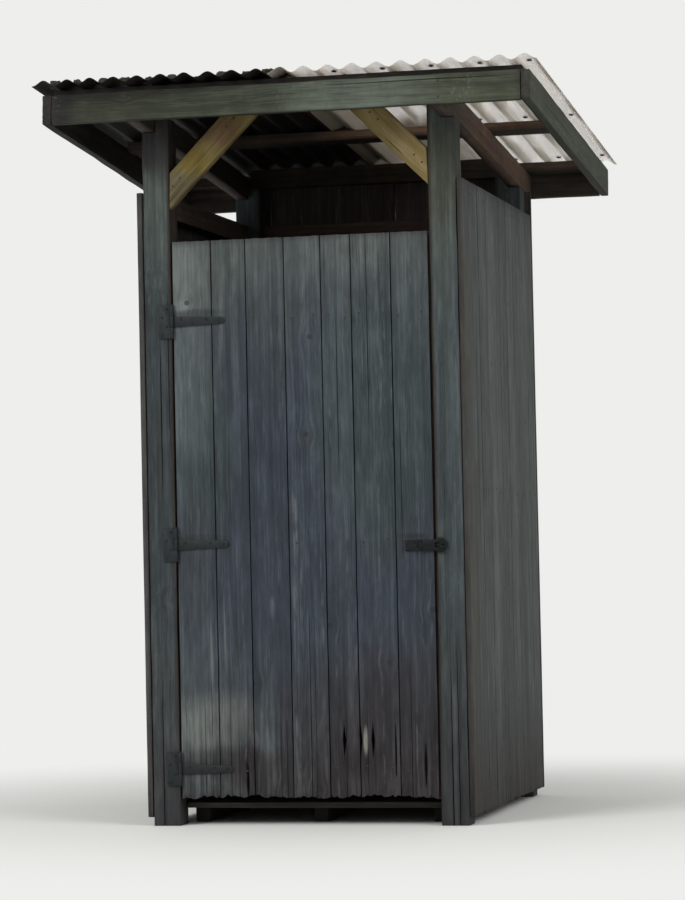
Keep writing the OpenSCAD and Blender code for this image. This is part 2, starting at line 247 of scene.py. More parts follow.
# Weathered timber. Each piece brings three attributes: grain runs across, through and along
# its board, board holds the distance from an edge, a tone and a hue, and wear the depth of a
# split, which side faces out and how near an end is.
weathered = {
    "cool": ((40, 44, 44), (70, 76, 75), (104, 111, 108)),
    "warm": ((42, 40, 36), (72, 70, 63), (102, 100, 92)), "warmShare": 0.3,
    "inner": ((24, 20, 17), (42, 36, 31), (64, 57, 50)),  # the side that faces in: browner, and darker as painted shade of the inside
    "damp": ((28, 25, 25), (46, 42, 41), (64, 59, 56)), "dampTop": 0.5,  # up from the ground
    "film": (60, 68, 52), "filmShare": 0.35,
    "lichen": (112, 118, 104), "lichenShare": 0.0,
    "bleached": (112, 115, 110), "bleach": 0.12,
    "dust": (58, 57, 46), "dustShare": 0.5,
    "crack": (20, 19, 18), "crackShare": 0.5,
    "stain": (36, 28, 24), "stained": False, "stainLength": 0.07,  # under each nail
    "patches": (), "toneSpread": 0.2, "footContrast": 0.0,
    "knots": 2.2, "relief": 0.0012, "gloss": 0.25,
    "nailsAt": (), "endNails": (), "nailInset": 0.022,
    "row": 0.05, "column": 0.016,  # the mesh, along and across
    "round": 0.002, "sunk": 0.001, "narrowed": 0.0004, "swell": 0.0012, "rough": 0.0006,
    "chip": 0.0014, "ripple": 0.001, "foot": 0.0, "head": 0.0,  # how far wear goes in
    "checks": 1, "checkWidth": 0.0018, "checkDepth": 0.005, "splits": (),
}


def patch(at, size, ragged, share, *colours):
    # a stained or bleached place: its middle and reach, how ragged and strong it is, three tones
    return {"at": at, "size": size, "ragged": ragged, "share": share, "colours": colours}


# How fine the grain and its marks are: factors across, through and along, or in X, Y and Z
fine = {
    "sway": (6, 6, 1.6), "band": (36, 36, 0.7), "streak": (105, 105, 1.7), "fibre": (270, 270, 5),
    "hair": (1000, 1000, 22), "cloud": (5, 5, 3), "speck": (70, 70, 30), "mottle": (14, 14, 6),
    "fleck": (75, 75, 13), "bleach": (62, 62, 1.6), "lichen": 85.0,
    "thread": (150, 150, 1.5), "strand": (320, 320, 5), "sparse": (12, 12, 1.2),
}


def timberPaint(name, look):
    paint = Paint(name)
    sawn = paint.attribute("grain")
    edge, tone, hue = paint.split(paint.attribute("board"))
    pit, outer, end = paint.split(paint.attribute("wear"))
    place = paint.place()
    height = paint.split(place)[2]
    upward = paint.upward()

    # the grain sways a little, and bends round the few knots
    across, through, along = paint.split(sawn)
    face = paint.node("CombineXYZ", sockets={0: across, 1: along})
    knotCells = {"Vector": face, "Scale": look["knots"]}
    knotAt = paint.node("TexVoronoi", {"voronoi_dimensions": "2D"}, knotCells, "Position")
    fromKnot = paint.vector("SUBTRACT", face, knotAt)
    knotReach = paint.vector("LENGTH", fromKnot, (0, 0, 0), "Value")
    bend = paint.ease(knotReach, 0.055, 0.0) * 0.7
    sway = (paint.noise(sawn, fine["sway"], 2) - 0.5) * 0.02
    across = across - paint.split(fromKnot)[0] * bend + sway
    grain = paint.node("CombineXYZ", sockets={0: across, 1: through, 2: along})

    band = paint.noise(grain, fine["band"])
    streak = paint.noise(grain, fine["streak"], 3)
    fibre = paint.noise(grain, fine["fibre"], 4, 0.6)
    hair = paint.noise(grain, fine["hair"], 2)
    cloud = paint.noise(place, fine["cloud"], 4)
    speck = paint.noise(place, fine["speck"], 4, 0.7)
    mottle = paint.noise(place, fine["mottle"], 4, 0.6)
    fleck = paint.noise(grain, fine["fleck"], 3, 0.6)
    value = band * 0.6 + streak * 0.6 + fibre * 0.5 + hair * 0.2 + mottle * 0.6 + fleck * 0.6
    value = value + (tone - 0.5) * look["toneSpread"] - 1.05
    if look["footContrast"]:
        value = (value - 0.5) * (paint.ease(height, 0.5, 0.12) * look["footContrast"] + 1) + 0.5

    wood = paint.ramp(value, look["cool"])
    warmth = hue * 0.6 + cloud * 0.7 + band * 0.2
    edgeOfWarm = 1.05 - look["warmShare"] * 0.6
    warm = paint.ease(warmth, edgeOfWarm, edgeOfWarm + 0.25)
    wood = paint.blend(warm, wood, paint.ramp(value, look["warm"]))
    for spot in look["patches"]:
        away = paint.vector("SUBTRACT", place, spot["at"])
        away = paint.vector("MULTIPLY", away, tuple(1 / size for size in spot["size"]))
        away = paint.vector("LENGTH", away, (0, 0, 0), "Value")
        away = away + (band - 0.5) * spot["ragged"] + (cloud - 0.5) * spot["ragged"]
        mask = paint.ease(away, 1.3, 0.45) * spot["share"]
        wood = paint.blend(mask, wood, paint.ramp(value, spot["colours"]))

    bleach = paint.ease(paint.noise(grain, fine["bleach"], 2), 0.58, 0.72) * paint.ease(fleck, 0.42, 0.62)
    wood = paint.blend(bleach * look["bleach"], wood, shade(*look["bleached"]))
    film = paint.ease(cloud * 0.7 + speck * 0.4 + fibre * 0.15, 0.85 - look["filmShare"] * 0.35, 0.98)
    wood = paint.blend(film * 0.6, wood, shade(*look["film"]))
    cells = paint.node("TexVoronoi", sockets={"Vector": place, "Scale": fine["lichen"]})
    growth = cells + (speck - 0.5) * 1.6
    colony = paint.ease(cloud, 0.64 - look["lichenShare"] * 0.25, 0.76 - look["lichenShare"] * 0.2)
    lichen = paint.ease(growth, 0.42, 0.2) * colony * outer * look["lichenShare"]
    wood = paint.blend(lichen, wood, shade(*look["lichen"]))
    # the side that faces in is browner, and darker as painted shade
    wood = paint.blend(outer, paint.ramp(value, look["inner"]), wood)
    settled = paint.ease(upward, 0.5, 0.95) * look["dustShare"]
    wood = paint.blend(settled, wood, shade(*look["dust"]))
    wet = height + (band - 0.5) * 0.6 * look["dampTop"] + (cloud - 0.5) * 0.5 * look["dampTop"]
    damp = paint.ramp(value, look["damp"])
    wood = paint.blend(paint.ease(wet, look["dampTop"], 0.0) * 0.8, wood, damp)
    knot = paint.ease(knotReach + (fibre - 0.5) * 0.006, 0.011, 0.006)
    wood = paint.blend(paint.ease(end, 0.2, 1.0) * 0.5 | knot * 0.8, wood, damp)

    thread = paint.noise(grain, fine["thread"], 1)
    strand = paint.noise(grain, fine["strand"], 1)
    sparse = paint.ease(paint.noise(grain, fine["sparse"], 2), 0.46, 0.62)
    crack = paint.ease(abs(thread - 0.5), 0.016, 0.0) | paint.ease(abs(strand - 0.5), 0.02, 0.0) * 0.6
    crack = crack * (sparse * 0.8 + 0.2)
    rim = paint.ease(edge, 0.003, 0.0)
    # darker in the splits' grooves, which is painted shade, and along painted checks and board edges
    dark = paint.ease(pit, 0.05, 0.5) * 0.85 | crack * look["crackShare"] | rim * 0.25
    wood = paint.blend(dark, wood, shade(*look["crack"]))
    for nailHeight in look["nailsAt"] if look["stained"] else ():
        below = nailHeight - height
        drip = paint.ease(below, -0.004, 0.004) * paint.ease(below, look["stainLength"], 0.0)
        beside = paint.ease(abs(edge - look["nailInset"]), 0.006, 0.0)
        wood = paint.blend(drip * beside * paint.ease(fibre, 0.3, 0.6) * 0.35, wood, shade(*look["stain"]))

    relief = fibre * 0.5 + streak * 0.25 + hair * 0.2 - crack * 0.6 + lichen * 0.25 - knot * 0.3
    return paint.finish({
        "Base Color": wood,
        "Roughness": fibre * 0.2 + 0.72,
        "Specular IOR Level": look["gloss"],
        "Normal": paint.bump(relief, look["relief"]),
    })


# How every solid is cut and worn: lengths in metres, angles in degrees
working = {
    "merge": 0.00002, "flat": 1,  # joins the loose triangles of a CAD node
    "arris": 25, "steelArris": 50, "steelRound": 0.0005, "onPlane": 0.00001,
    "square": 0.6, "thinSide": 0.3,  # a timber less thick for its width is worn less at its sides
    "thick": 0.015,  # above this half thickness the mesh is sliced through it too
    "chipped": 0.004, "endGrain": 0.02, "wornEnd": 0.07,  # how far wear reaches from an edge or an end
    "footWear": 1.3,
    "innerSkin": 0.004,  # what lies deeper than this counts as the side that faces out
    "clear": 0.01,  # nails keep this far from a board's ends, and splits from its edges
    "nailAlong": 0.008, "nailAcross": 0.003, "endNailAcross": 0.004,  # how far a nail strays
    "seeds": 40,
}

# How fine the wear is: factors across, through and along
wearOf = {
    "swell": (9, 9, 1.4), "rough": (70, 70, 9), "chip": (30, 30, 7), "ripple": (3, 0, 6),
    "ragged": (62, 22, 3), "nick": (115, 30, 5),
}

# A split has two outer and two inner lines along the grain, as shares of its width
splitShape = {
    "lines": (-0.5, -0.22, 0.22, 0.5), "within": 0.51, "inner": 0.3,
    "skin": 0.0045,  # how deep below the face its points may lie
    "closing": 0.8, "middleTaper": 0.7, "endTaper": 0.6,
    "long": (0.12, 0.4), "from": (-0.8, 0.3), "aside": 0.75, "wide": (0.6, 1.3), "deep": (0.6, 1.2),
    "overrun": 0.001,
}


def about(rng, reach):
    return rng.uniform(-reach, reach)


def lumps(place, fineness, seed):
    return noise.noise(Vector([x * factor for x, factor in zip(place, fineness)]) + seed)


def cutThrough(solid, spot, normal, near):
    everything = solid.verts[:] + solid.edges[:] + solid.faces[:]
    bmesh.ops.bisect_plane(solid, geom=everything, dist=near, plane_co=spot, plane_no=normal)


def roundOff(solid, angle, width):
    # rounds the edges that are sharper than the angle
    arrises = [edge for edge in solid.edges if edge.calc_face_angle(0) > math.radians(angle)]
    bmesh.ops.bevel(solid, geom=arrises, offset=width, offset_type="OFFSET", segments=2, profile=0.5,
                    affect="EDGES", material=-1, clamp_overlap=True)


def solidsOf(nodeName):
    # the separate solids of a CAD node, with their flat faces whole again
    whole = bmesh.new()
    whole.from_mesh(frame["nodes"][nodeName].data)
    bmesh.ops.remove_doubles(whole, verts=whole.verts, dist=working["merge"])
    bmesh.ops.dissolve_limit(whole, angle_limit=math.radians(working["flat"]), verts=whole.verts,
                             edges=whole.edges)
    whole.verts.index_update()
    grouped = set()
    solids = []
    for start in whole.verts:
        if start.index in grouped:
            continue
        members = [start]
        group = {start.index}
        for vert in members:
            for linked in vert.link_edges:
                other = linked.other_vert(vert)
                if other.index not in group:
                    group.add(other.index)
                    members.append(other)
        grouped |= group
        solid = whole.copy()
        extra = [vert for i, vert in enumerate(solid.verts) if i not in group]
        bmesh.ops.delete(solid, geom=extra, context="VERTS")
        solids.append(solid)
    whole.free()
    return solids


# One board or post: its mesh and the directions across, through and along its grain
class Board:
    def __init__(self, solid):
        self.solid = solid
        longest = max(solid.edges, key=lambda edge: edge.calc_length())
        along = (longest.verts[1].co - longest.verts[0].co).normalized()
        if sum(along) < 0:
            along.negate()
        sides = [face for face in solid.faces if abs(face.normal.dot(along)) < 0.2]
        through = max(sides, key=lambda face: face.calc_area()).normal.copy()
        centre = sum((vert.co for vert in solid.verts), Vector()) / len(solid.verts)
        outward = Vector((0, 0, 1)) if abs(through.z) > 0.5 else Vector((centre.x, centre.y, 0))
        if through.dot(outward) < 0:
            through.negate()
        self.axes = (along.cross(through), through, along)
        reach = [[vert.co.dot(axis) for vert in solid.verts] for axis in self.axes]
        self.low = [min(row) for row in reach]
        self.half = [(max(row) - min(row)) / 2 for row in reach]
        self.middle = [(min(row) + max(row)) / 2 for row in reach]
        self.grain = solid.verts.layers.float_vector.new("grain")
        self.edge = solid.verts.layers.float_vector.new("board")
        self.wear = solid.verts.layers.float_vector.new("wear")

    def isSquare(self):
        return self.half[1] > working["square"] * self.half[0]

    def local(self, point):
        # a point's place from the board's middle: across, through and along
        return [point.dot(axis) - middle for axis, middle in zip(self.axes, self.middle)]

    def world(self, place):
        return sum((self.axes[i] * (place[i] + self.middle[i]) for i in range(3)), Vector())

    def cut(self, axis, offset):
        normal = self.axes[axis]
        cutThrough(self.solid, normal * (self.middle[axis] + offset), normal, working["onPlane"])

    def slice(self, axis, step):
        count = round(2 * self.half[axis] / step)
        for i in range(1, count):
            self.cut(axis, -self.half[axis] + 2 * self.half[axis] * i / count)

    def openSplit(self, split):
        # a groove along the grain, whose two middle lines are pushed in
        side = split["side"]
        deep = 1 - side
        for line in splitShape["lines"]:
            self.cut(side, split["offset"] + line * split["width"])
        for vert in self.solid.verts:
            place = self.local(vert.co)
            across = (place[side] - split["offset"]) / split["width"]
            below = self.half[deep] - place[deep] * split["face"]
            if abs(across) > splitShape["within"] or below > splitShape["skin"]:
                continue
            share = (place[2] - split["from"]) / (split["to"] - split["from"])
            if not 0 < share < 1:
                continue
            if split["open"]:
                gape = (1 - share) ** splitShape["endTaper"]
            else:
                gape = math.sin(math.pi * share) ** splitShape["middleTaper"]
            vert.co -= self.axes[side] * across * split["width"] * (1 - gape) * splitShape["closing"]
            if abs(across) < splitShape["inner"]:
                vert.co -= self.axes[deep] * split["face"] * split["depth"] * gape
                vert[self.wear].x = gape

    def randomSplit(self, look, rng, side):
        # a drying check, from an end or along the middle
        fromEnd = rng.random() < 0.5
        reach = 2 * self.half[2] * rng.uniform(*splitShape["long"])
        if fromEnd:
            start = -self.half[2] - splitShape["overrun"]
        else:
            start = rng.uniform(*splitShape["from"]) * self.half[2]
        self.openSplit({
            "side": side,
            "face": 1 if side == 0 or rng.random() < 0.5 else -1,
            "offset": about(rng, splitShape["aside"]) * self.half[side],
            "width": look["checkWidth"] * rng.uniform(*splitShape["wide"]),
            "depth": min(look["checkDepth"] * rng.uniform(*splitShape["deep"]), self.half[1 - side]),
            "from": start, "to": start + reach, "open": fromEnd,
        })

    def weather(self, look, rng):
        # small hollows, chipped edges and ragged ends, all of them inside the sawn board
        seed = Vector([about(rng, working["seeds"]) for _ in range(3)])
        sunk = rng.uniform(0, look["sunk"])
        narrow = rng.uniform(0, look["narrowed"])
        tone, hue = rng.random(), rng.random()
        halfA, halfT, halfL = self.half
        sideShare = 1.0 if self.isSquare() else working["thinSide"]
        ends = working["wornEnd"]
        self.solid.normal_update()
        moved = []
        for vert in self.solid.verts:
            a, t, w = self.local(vert.co)
            edge = max(halfA - abs(a), halfT - abs(t))
            nearEnd = max(0.0, 1 - (halfL - abs(w)) / working["endGrain"])
            swell = lumps((a, t, w), wearOf["swell"], seed)
            rough = lumps((a, t, w), wearOf["rough"], seed)
            inward = look["swell"] * (0.5 + 0.5 * swell) + look["rough"] * (0.5 + 0.5 * rough)
            if edge < working["chipped"]:
                inward += 2 * look["chip"] * max(0.0, lumps((a, t, w), wearOf["chip"], -seed))
            normal = [vert.normal.dot(axis) for axis in self.axes]
            ripple = look["ripple"] * (1 + lumps((math.copysign(1, a), 0, w), wearOf["ripple"], seed))
            new = [a, t, w]
            new[0] -= a / halfA * (narrow + ripple) + normal[0] * inward * sideShare
            new[1] -= sunk * (t + halfT) / (2 * halfT) + normal[1] * inward
            low, high = w + halfL, halfL - w
            ragged = 0.5 + 0.5 * lumps((a, t, 1), wearOf["ragged"], seed)
            nick = max(0.0, lumps((a, t, 1), wearOf["nick"], -seed))
            footWear = (ragged * ragged + nick) * working["footWear"]
            new[2] += look["foot"] * footWear * max(0.0, 1 - low / ends)
            new[2] -= look["head"] * ragged * max(0.0, 1 - high / ends)
            new = [min(max(value, -half), half) for value, half in zip(new, self.half)]
            moved.append((vert, self.world(new)))
            vert[self.grain] = Vector((a, t, w)) + seed * 0.1
            vert[self.edge] = (max(edge, 0.0), tone, hue)
            outer = 1.0 if t > working["innerSkin"] - halfT else 0.0
            vert[self.wear] = (vert[self.wear].x, outer, nearEnd)
        for vert, place in moved:
            vert.co = place
        return sunk


def joinInto(whole, solid):
    # adds one board's mesh to the piece's and frees it
    mesh = bpy.data.meshes.new("part")
    solid.to_mesh(mesh)
    solid.free()
    whole.from_mesh(mesh)
    bpy.data.meshes.remove(mesh)


def makePiece(name, solid, paint, body, sharp=35):
    mesh = bpy.data.meshes.new(name)
    for face in solid.faces:
        face.smooth = True
    solid.to_mesh(mesh)
    solid.free()
    mesh.set_sharp_from_angle(angle=math.radians(sharp))
    mesh.materials.append(paint)
    piece = bpy.data.objects.new(name, mesh)
    bpy.context.collection.objects.link(piece)
    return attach(piece, body)


def standIn(piece, nodeName):
    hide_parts(nodeName)


nailSpots = {"building": [], "door": []}


def markNail(board, body, place):
    # remembers a nail at a place across, through and along a board
    nailSpots[body].append((board.world(place), board.axes[1]))


def weatheredTimber(nodeName, look, paint):
    rng = random.Random(nodeName)
    whole = bmesh.new()
    body = bodyOf[nodeName]
    boards = map(Board, solidsOf(nodeName))
    for board in sorted(boards, key=lambda board: tuple(round(x, 4) for x in board.low)):
        roundOff(board.solid, working["arris"], look["round"])
        board.slice(2, look["row"])
        board.slice(0, look["column"])
        if board.half[1] > working["thick"]:
            board.slice(1, look["column"])
        for split in look["splits"]:
            offset = split["x"] - board.middle[0]
            if abs(offset) < board.half[0] - working["clear"]:
                board.openSplit({
                    **split, "side": 0, "face": 1, "open": False, "offset": offset,
                    "from": split["from"] - board.middle[2], "to": split["to"] - board.middle[2],
                })
        for _ in range(look["checks"]):
            board.randomSplit(look, rng, 0)
            if board.isSquare():
                board.randomSplit(look, rng, 1)
        sunk = board.weather(look, rng)
        face = board.half[1] - sunk - look["swell"] * 0.5
        main = max(range(3), key=lambda i: abs(board.axes[2][i]))
        centre = board.world((0, 0, 0))[main]
        for nailAt in look["nailsAt"]:
            for side in (-1, 1):
                w = (nailAt - centre) / board.axes[2][main] + about(rng, working["nailAlong"])
                if abs(w) < board.half[2] - working["clear"]:
                    a = side * (board.half[0] - look["nailInset"]) + about(rng, working["nailAcross"])
                    markNail(board, body, (a, face, w))
        for inset in look["endNails"]:
            for end in (-1, 1):
                a = about(rng, working["endNailAcross"])
                markNail(board, body, (a, face, end * (board.half[2] - inset)))
        joinInto(whole, board.solid)
    standIn(makePiece(nodeName + "_weathered", whole, paint, body), nodeName)


def weatherAll(paintName, look, *nodes):
    paint = timberPaint(paintName, look)
    for node in nodes:
        weatheredTimber(node, look, paint)


def middleOf(nodeName, axis):
    # the middle of each solid of a node, along X, Y or Z
    spots = []
    for solid in solidsOf(nodeName):
        reach = [vert.co[axis] for vert in solid.verts]
        spots.append(round((min(reach) + max(reach)) / 2, 4))
        solid.free()
    return sorted(spots)


# Posts, beams and braces
postLook = {
    **weathered, "checks": 3, "checkDepth": 0.01, "checkWidth": 0.0026, "round": 0.003,
    "chip": 0.0025, "ripple": 0.0015, "film": (56, 64, 52), "filmShare": 0.4, "lichenShare": 0.2,
    "dampTop": 0.8,
    "cool": ((36, 42, 43), (60, 67, 69), (90, 98, 99)),
    "warm": ((34, 37, 37), (58, 62, 61), (86, 91, 89)),
    "damp": ((29, 28, 29), (48, 47, 48), (70, 69, 70)),
    "patches": (
        patch((0.0, -0.55, 2.05), (0.9, 0.4, 0.5), 0.8, 0.8, (40, 46, 42), (69, 76, 70), (100, 108, 100)),
        # the dark top of the left post is painted shade under the roof
        patch((-0.46, -0.55, 2.17), (0.14, 0.3, 0.15), 0.5, 0.85, (19, 18, 19), (33, 31, 32), (51, 49, 50)),
        patch((0.46, -0.55, 2.02), (0.14, 0.3, 0.2), 0.6, 0.8, (31, 33, 27), (52, 54, 45), (78, 81, 69)),
        patch((-0.46, -0.55, 1.15), (0.16, 0.4, 0.75), 0.8, 0.8, (25, 29, 31), (46, 51, 54), (72, 78, 81)),
    ),
}
weatherAll("weathered post", postLook,
           "post_front_left", "post_front_right", "post_rear_left", "post_rear_right")

shelteredLook = {
    **weathered, "column": 0.02, "filmShare": 0.1, "dampTop": 0.1,
    "crackShare": 0.35, "inner": ((26, 21, 18), (44, 37, 31), (66, 57, 48)),
    "cool": ((34, 29, 25), (56, 48, 41), (80, 71, 61)),
    "warm": ((40, 33, 28), (66, 56, 48), (90, 79, 68)),
    "patches": (
        # these two lighter, warmer places under the clear sheet are painted light that comes through it
        patch((0.5, 0.15, 2.2), (0.42, 0.6, 0.4), 0.5, 0.8, (54, 39, 31), (86, 66, 52), (118, 95, 76)),
        patch((0.17, 0.05, 2.2), (0.26, 0.3, 0.3), 0.5, 0.85,
              (84, 64, 50), (128, 102, 84), (160, 134, 114)),
        # painted shadow of the iron sheet along the front purlin
        patch((0.0, -0.745, 2.29), (2.5, 0.03, 0.06), 0.2, 0.85, (14, 13, 12), (25, 23, 21), (40, 37, 34)),
    ),
}
purlins = ("front_purlin", "middle_purlin", "rear_purlin")
weatherAll("sheltered roof timber", shelteredLook,
           "front_beam", "rear_beam", "rafter_left", "rafter_right", *purlins)

braceLook = {
    **shelteredLook, "column": 0.014, "row": 0.03, "round": 0.003, "ripple": 0.0015,
    "endNails": (0.062, 0.096), "crackShare": 0.4,
    "cool": ((74, 64, 37), (113, 99, 60), (142, 129, 90)),
    "warm": ((84, 66, 48), (122, 102, 76), (152, 134, 106)),
    "inner": ((62, 51, 34), (94, 79, 54), (120, 105, 78)),
    "patches": (
        patch((-0.37, -0.58, 2.0), (0.09, 0.3, 0.07), 0.5, 0.8, (48, 44, 32), (78, 71, 53), (106, 98, 77)),
        patch((-0.335, -0.58, 2.08), (0.05, 0.3, 0.05), 0.5, 0.7,
              (66, 55, 16), (98, 84, 30), (128, 112, 54)),
        patch((-0.235, -0.58, 2.17), (0.07, 0.3, 0.06), 0.6, 0.8,
              (68, 50, 34), (104, 80, 58), (134, 108, 82)),
    ),
}
weatherAll("sawn brace", braceLook, "knee_brace_left", "knee_brace_right")
print("frame timbers weathered")


# Fascias and barge boards
raftersAt = middleOf("rafter_left", 0) + middleOf("rafter_right", 0)
purlinsAt = [middleOf(node, 1)[0] for node in purlins]
fasciaLook = {
    **weathered, "film": (46, 49, 33), "filmShare": 0.6, "lichenShare": 0.3, "dampTop": 0.1,
    "head": 0.003, "foot": 0.003, "chip": 0.0025, "ripple": 0.0022, "column": 0.012, "row": 0.03,
    "cool": ((30, 33, 27), (49, 53, 43), (74, 79, 66)),
    "warm": ((31, 32, 25), (49, 50, 38), (71, 72, 57)),
    "patches": (
        patch((0.25, -0.76, 2.25), (0.26, 0.3, 0.4), 0.5, 0.85,
              (54, 60, 54), (80, 87, 78), (106, 114, 103)),
        patch((0.62, -0.76, 2.25), (0.22, 0.3, 0.4), 0.7, 0.7, (36, 39, 30), (58, 62, 49), (84, 89, 73)),
        patch((-0.74, -0.76, 2.27), (0.4, 0.3, 0.3), 0.9, 0.6, (26, 27, 20), (41, 42, 32), (61, 62, 49)),
        # painted shadow of the overhanging sheet along the fascia's top at the left
        patch((-0.55, -0.765, 2.292), (0.45, 0.2, 0.032), 0.5, 0.85,
              (16, 17, 12), (27, 28, 21), (42, 43, 34)),
        patch((-0.75, -0.76, 2.24), (0.09, 0.12, 0.3), 0.4, 0.85, (13, 14, 15), (23, 24, 26), (37, 38, 41)),
    ),
}
fasciaPaint = timberPaint("mossy fascia", fasciaLook)
for node, nailsAt in (("fascia_front", raftersAt), ("fascia_rear", raftersAt),
                      ("barge_left", purlinsAt), ("barge_right", purlinsAt)):
    weatheredTimber(node, {**fasciaLook, "nailsAt": nailsAt}, fasciaPaint)

# Walls, their rails and the floor
railHeights = middleOf("left_wall_rails", 2)
wallLook = {
    **weathered, "nailsAt": railHeights, "stained": True, "foot": 0.008, "head": 0.004,
    "sunk": 0.0008, "checks": 2, "row": 0.04, "column": 0.013, "lichenShare": 0.2,
    "narrowed": 0.0001, "ripple": 0.0001, "swell": 0.0008, "round": 0.001, "chip": 0.0005,
    "cool": ((39, 43, 43), (66, 71, 71), (97, 102, 101)),
    "warm": ((39, 38, 35), (65, 64, 60), (92, 91, 85)),
    "inner": ((33, 29, 28), (58, 52, 50), (88, 82, 79)),
}
weatherAll("weathered wall board", wallLook, "left_wall_boards", "right_wall_boards", "rear_wall_boards")

railLook = {
    **shelteredLook, "patches": (), "row": 0.07,
    "inner": ((46, 37, 33), (73, 60, 54), (100, 86, 79)),
    "cool": ((46, 37, 33), (73, 60, 54), (100, 86, 79)),
    "warm": ((50, 41, 36), (77, 65, 57), (104, 91, 81)),
}
weatherAll("inner rail", railLook, "left_wall_rails", "right_wall_rails", "rear_wall_rails", "door_stop")

floorLook = {
    **weathered, "nailsAt": middleOf("floor_bearers", 0), "dampTop": 0.13, "dustShare": 0.35,
    "cool": ((38, 35, 31), (62, 58, 52), (88, 83, 75)), "column": 0.02,
    "damp": ((17, 16, 15), (29, 27, 25), (43, 40, 37)),
}
weatherAll("worn floor", floorLook, "floor_boards", "floor_bearers")
print("walls and floor weathered")


# The ledged door
def onLevels(stem):
    return [stem + level for level in ("top", "middle", "low")]


ledgeHeights = sorted(middleOf(node, 2)[0] for node in onLevels("door_ledge_"))
# tones of the painted shadow along the hinge straps and the hasp
paintedStrapShadow = ((16, 17, 18), (28, 30, 31), (42, 45, 46))
doorLook = {
    **weathered, "nailsAt": ledgeHeights, "stained": True, "foot": 0.012, "head": 0.003,
    "sunk": 0.0015, "checks": 2, "row": 0.03, "column": 0.0065, "dampTop": 0.3, "toneSpread": 0.16,
    "narrowed": 0.0001, "ripple": 0.0005, "round": 0.0014, "footContrast": 0.8,
    "cool": ((40, 45, 46), (66, 72, 73), (96, 103, 104)),
    "warm": ((39, 41, 42), (63, 66, 68), (92, 95, 97)),
    "damp": ((25, 22, 23), (42, 39, 40), (62, 58, 59)),
    "warmShare": 0.2, "filmShare": 0.15, "bleach": 0.3,
    # stained places, by x, z, about half the width and height, how ragged and strong, and three
    # tones; they lie in the door's plane, and the last four are painted shadow along the straps and hasp
    "plane": -0.6, "deep": 1.0,
    "spots": (
        (0.05, 0.95, 0.75, 0.78, 0.8, 0.9, (28, 33, 42), (47, 53, 63), (73, 80, 92)),
        (-0.33, 1.16, 0.13, 0.3, 0.5, 0.7, (30, 37, 37), (50, 59, 59), (77, 87, 87)),
        (-0.36, 0.84, 0.06, 0.28, 0.6, 0.6, (27, 30, 33), (46, 50, 54), (71, 76, 80)),
        (0.25, 1.27, 0.22, 0.44, 0.8, 0.75, (33, 40, 40), (54, 63, 63), (82, 92, 92)),
        (0.117, 1.2, 0.05, 0.5, 0.3, 0.55, (40, 47, 51), (64, 72, 77), (91, 100, 106)),
        (-0.365, 1.36, 0.08, 0.26, 0.5, 0.65, (52, 57, 58), (80, 87, 88), (108, 116, 116)),
        (0.0, 1.84, 0.6, 0.17, 0.9, 0.5, (48, 53, 51), (76, 82, 79), (106, 113, 109)),
        (-0.37, 1.72, 0.13, 0.17, 0.9, 0.7, (56, 61, 60), (84, 90, 88), (112, 119, 116)),
        (-0.375, 1.74, 0.055, 0.09, 0.6, 0.6, (74, 79, 78), (102, 108, 106), (126, 132, 130)),
        (-0.38, 1.625, 0.03, 0.022, 0.4, 0.6, (80, 88, 88), (108, 116, 116), (130, 138, 138)),
        (-0.25, 1.72, 0.065, 0.12, 0.5, 0.6, (34, 38, 37), (55, 61, 59), (82, 89, 87)),
        (-0.3, 0.32, 0.15, 0.095, 0.7, 0.85, (58, 61, 60), (88, 92, 90), (118, 122, 119)),
        # painted shadow of the low hinge strap, and grime beside it
        (-0.25, 0.195, 0.22, 0.05, 0.5, 0.75, (27, 26, 26), (45, 44, 43), (66, 65, 63)),
        (-0.306, 0.52, 0.006, 0.11, 0.3, 0.4, (78, 84, 83), (104, 111, 109), (126, 133, 131)),
        (-0.168, 0.265, 0.012, 0.03, 0.4, 0.75, (78, 80, 84), (104, 106, 110), (126, 128, 132)),
        (-0.108, 0.675, 0.01, 0.035, 0.4, 0.35, (72, 76, 86), (96, 101, 112), (118, 123, 134)),
        (0.22, 0.17, 0.38, 0.36, 0.8, 0.9, (25, 22, 24), (42, 39, 42), (63, 59, 62)),
        (0.175, 0.195, 0.08, 0.06, 0.6, 0.75, (15, 13, 14), (28, 25, 26), (46, 42, 43)),
        (-0.19, 0.16, 0.09, 0.1, 0.8, 0.8, (24, 21, 22), (40, 37, 38), (58, 54, 56)),
        (0.1825, 0.262, 0.008, 0.045, 0.2, 0.9, (104, 100, 96), (132, 128, 123), (150, 146, 141)),
        (-0.33, 1.603, 0.085, 0.013, 0.3, 0.5, *paintedStrapShadow),
        (-0.33, 0.9, 0.085, 0.011, 0.3, 0.3, *paintedStrapShadow),
        (-0.32, 0.194, 0.1, 0.011, 0.3, 0.3, *paintedStrapShadow),
        (0.345, 0.89, 0.05, 0.009, 0.3, 0.45, *paintedStrapShadow),
    ),
    "splits": (
        {"x": 0.277, "from": 0.15, "to": 0.31, "width": 0.007, "depth": 0.016},
        {"x": 0.37, "from": 0.125, "to": 0.245, "width": 0.011, "depth": 0.017},
        {"x": -0.196, "from": 0.081, "to": 0.2, "width": 0.009, "depth": 0.015},
        {"x": -0.052, "from": 0.081, "to": 0.17, "width": 0.006, "depth": 0.012},
    ),
}
doorLook["patches"] = [
    patch((x, doorLook["plane"], z), (wide, doorLook["deep"], high), *rest)
    for x, z, wide, high, *rest in doorLook["spots"]
]
weatherAll("weathered door", doorLook, "door_boards")
weatherAll("door ledge", shelteredLook, *onLevels("door_ledge_"), "door_brace_upper", "door_brace_lower")
print("door weathered")


